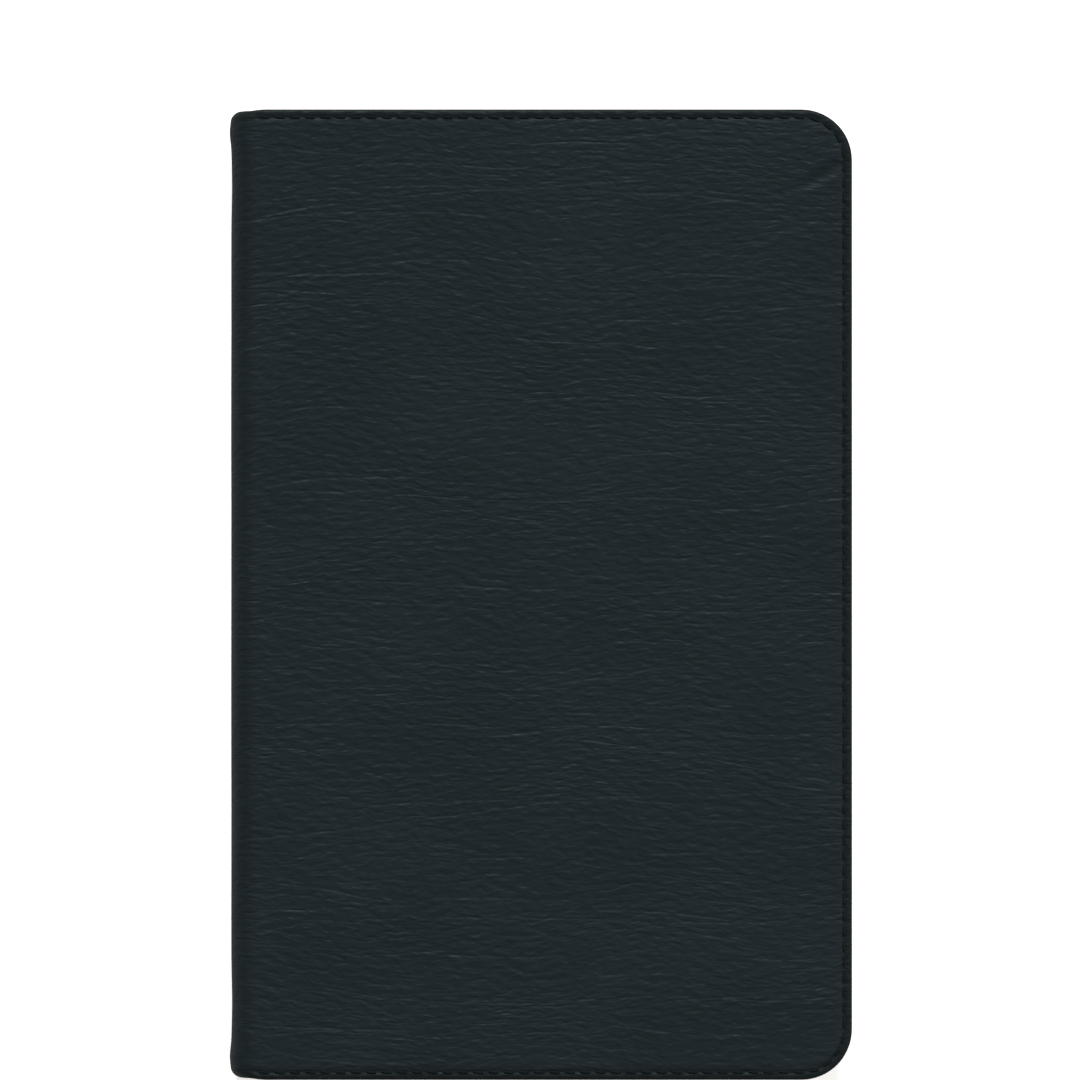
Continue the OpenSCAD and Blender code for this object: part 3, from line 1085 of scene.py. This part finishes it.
def spine_strip(side, layer, half_h, outer_depth, inner_depth, material, slot_name):
    """One glued layer inside the spine, from the middle page up to the hinge."""
    runs = spread(-SPINE_LENGTH + SPINE_CLEAR, 0, SPINE_STEP)
    y = spread(-half_h, half_h, STRIP_ROW_STEP)
    run_grid, y_grid = np.broadcast_arrays(runs, y[:, None])
    flat = joined(run_grid, y_grid)
    shell = Shell()
    outer = shell.grid(wrap(run_grid, y_grid, outer_depth, side), flat)
    inner = shell.grid(wrap(run_grid, y_grid, inner_depth, side), flat)
    shell.close(outer, inner)
    piece = shell.make(f"{side}_{layer}", [material])
    bends_at_fold(piece)
    hand_over(piece, slot_name, f"{side}_spine_{layer}")


def spine_cord(shell, side, y, depth, half_y, half_depth, ridge_pitch, run_to):
    """A ridged thread or band over the curved back of the pages, at y."""
    runs = spread(-SPINE_LENGTH + SPINE_CLEAR, run_to, CORD_STEP)
    around = np.linspace(0, 2 * math.pi, CORD_SIDES, endpoint=False)
    turn = math.pi * (runs[:, None] - runs[0]) / ridge_pitch + around * CORD_TWIST
    swell = 1 + CORD_RIDGE * np.abs(np.sin(turn))
    places = y + half_y * np.cos(around) * swell
    depths = depth - half_depth * np.sin(around) * swell
    flat = joined(runs[:, None], around * half_y)
    shell.tube(wrap(runs[:, None], places, depths, side), flat)


def make_spine_inside(side):
    """The layers inside one half of the spine, its sewing and its bands."""
    spine_strip(side, "liner", PAGE_HALF_H, SPINE_LEATHER_T, MULL_STEP, CARD, "card")
    spine_strip(side, "mull", mull_high.y, MULL_STEP, SEWING_STEP, MULL, "mull")

    threads = Shell()
    pitch = 2 * PAGE_HALF_H / (SEWING_STATIONS + 1)
    depth = (SEWING_STEP + BLOCK_STEP) / 2
    for station in range(1, SEWING_STATIONS + 1):
        for offset in (-SEWING_OFFSET, SEWING_OFFSET):
            y = station * pitch - PAGE_HALF_H + offset
            spine_cord(threads, side, y, depth, *SEWING_HALF, SPINE_LENGTH / SIGNATURES, SEWING_END)
    piece = threads.make(f"{side}_sewing", [SEWING_THREAD], sharp_above=80)
    bends_at_fold(piece)
    hand_over(piece, "thread", f"{side}_sewing_thread")

    for end, node in ((1, f"{side}_headband"), (-1, f"{side}_tailband")):
        band = Shell()
        y = end * (band_low.y + band_high.y) / 2
        half_y = (band_high.y - band_low.y) / 2 - BAND_CLEAR
        spine_cord(band, side, y, BLOCK_STEP + BAND_SINK, half_y, BAND_HALF_T, BAND_PITCH, BAND_END)
        piece = band.make(node.replace("band", "_band_silk"), [BAND], sharp_above=80)
        bends_at_fold(piece)
        hand_over(piece, "band", node)


# ---- ribbon marker
RIBBON_DROP = 0.285 * MM
RIBBON_HALF_T = 0.022 * MM
RIBBON_W = 6 * MM
RIBBON_LENGTH = 200 * MM
RIBBON_SLANT = 5 * MM
RIBBON_SWAY = 0.5 * MM
RIBBON_ROWS, RIBBON_COLUMNS = 140, 9
SELVEDGE_T = 0.015 * MM
SELVEDGE_FROM = 0.43


def make_ribbon():
    """A ribbon marker between the pages, its tail cut on the slant."""
    head_x, head_y = ribbon_low.x, ribbon_high.y
    tail_x, tail_y = ribbon_high.x - RIBBON_W, ribbon_low.y
    share = spread(0, 1, 1 / RIBBON_ROWS)[:, None]
    aside = np.linspace(0, 1, RIBBON_COLUMNS)
    sway = RIBBON_SWAY * np.sin(share * 2.5 * math.pi) * np.sin(share * math.pi)
    x = head_x + (tail_x - head_x) * share + aside * RIBBON_W + sway
    y = head_y + (tail_y + RIBBON_SLANT * aside - head_y) * share
    half_t = RIBBON_HALF_T + SELVEDGE_T * (np.abs(aside - 0.5) > SELVEDGE_FROM)
    flat = joined(aside * RIBBON_W, share * RIBBON_LENGTH)
    shell = Shell()
    sheets = []
    for up in (1, -1):
        sheets.append(shell.grid(joined(x, y, MID_Z - RIBBON_DROP + up * half_t), flat))
    shell.close(*sheets)
    piece = shell.make("ribbon", [RIBBON])
    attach(piece, BACK_HALF)
    hand_over(piece, "ribbon", "ribbon_marker")


# ---- floor, lights and camera
FLOOR_HALF = 3.0
CAMERA_LENS = 400
CAMERA_SENSOR = 36
VIEW_WIDTH = 240.3 * MM
VIEW_CENTRE = mm(-0.2, 12.15)

# Suns as (azimuth from +X, elevation, strength, angular size), in degrees.
SUNS = [(90, 36, 3.75, 10), (0, 42, 1.0, 30)]
SKY_STRENGTH = 0.375
FLOOR_WHITE = rgb(0.9, 0.9, 0.9)
FLOOR_GLOW = 0.5
FLOOR_SHINE = {"Specular_IOR_Level": 0.0, "Emission_Color": FLOOR_WHITE, "Emission_Strength": FLOOR_GLOW}


def make_stage():
    mesh = bpy.data.meshes.new("floor")
    corners = [(FLOOR_HALF * x, FLOOR_HALF * y, 0) for x, y in ((-1, -1), (1, -1), (1, 1), (-1, 1))]
    mesh.from_pydata(corners, [], [(0, 1, 2, 3)])
    floor = placed("floor", mesh)
    mesh.materials.append(Graph("floor_white").finish(FLOOR_WHITE, 0.9, **FLOOR_SHINE))
    floor.visible_glossy = False

    scene = bpy.context.scene
    scene.view_settings.view_transform = "Standard"
    world = scene.world = bpy.data.worlds.new("studio")
    world.use_nodes = True
    background = world.node_tree.nodes["Background"]
    background.inputs["Color"].default_value = (1.0, 1.0, 1.0, 1.0)
    background.inputs["Strength"].default_value = SKY_STRENGTH

    for number, (azimuth, elevation, strength, size) in enumerate(SUNS):
        light = bpy.data.lights.new(f"sun_{number}", "SUN")
        light.energy = strength
        light.angle = math.radians(size)
        lamp = placed(f"sun_{number}", light)
        turn, up = math.radians(azimuth), math.radians(elevation)
        towards = Vector((math.cos(turn) * math.cos(up), math.sin(turn) * math.cos(up), math.sin(up)))
        lamp.rotation_euler = towards.to_track_quat("Z", "Y").to_euler()


def make_camera():
    camera = placed("camera", bpy.data.cameras.new("camera"))
    camera.data.lens = CAMERA_LENS
    camera.data.sensor_width = CAMERA_SENSOR
    away = VIEW_WIDTH * CAMERA_LENS / CAMERA_SENSOR
    camera.location = (*VIEW_CENTRE, TOP_Z + away)
    camera.data.clip_end = 4 * away
    bpy.context.scene.camera = camera


make_camera()
make_stage()
make_cover_leather()
for book_side in SIDES:
    make_seam(book_side)
    make_inner_cover(book_side)
    make_block(book_side)
    make_spine_inside(book_side)
make_leaves()
make_ribbon()
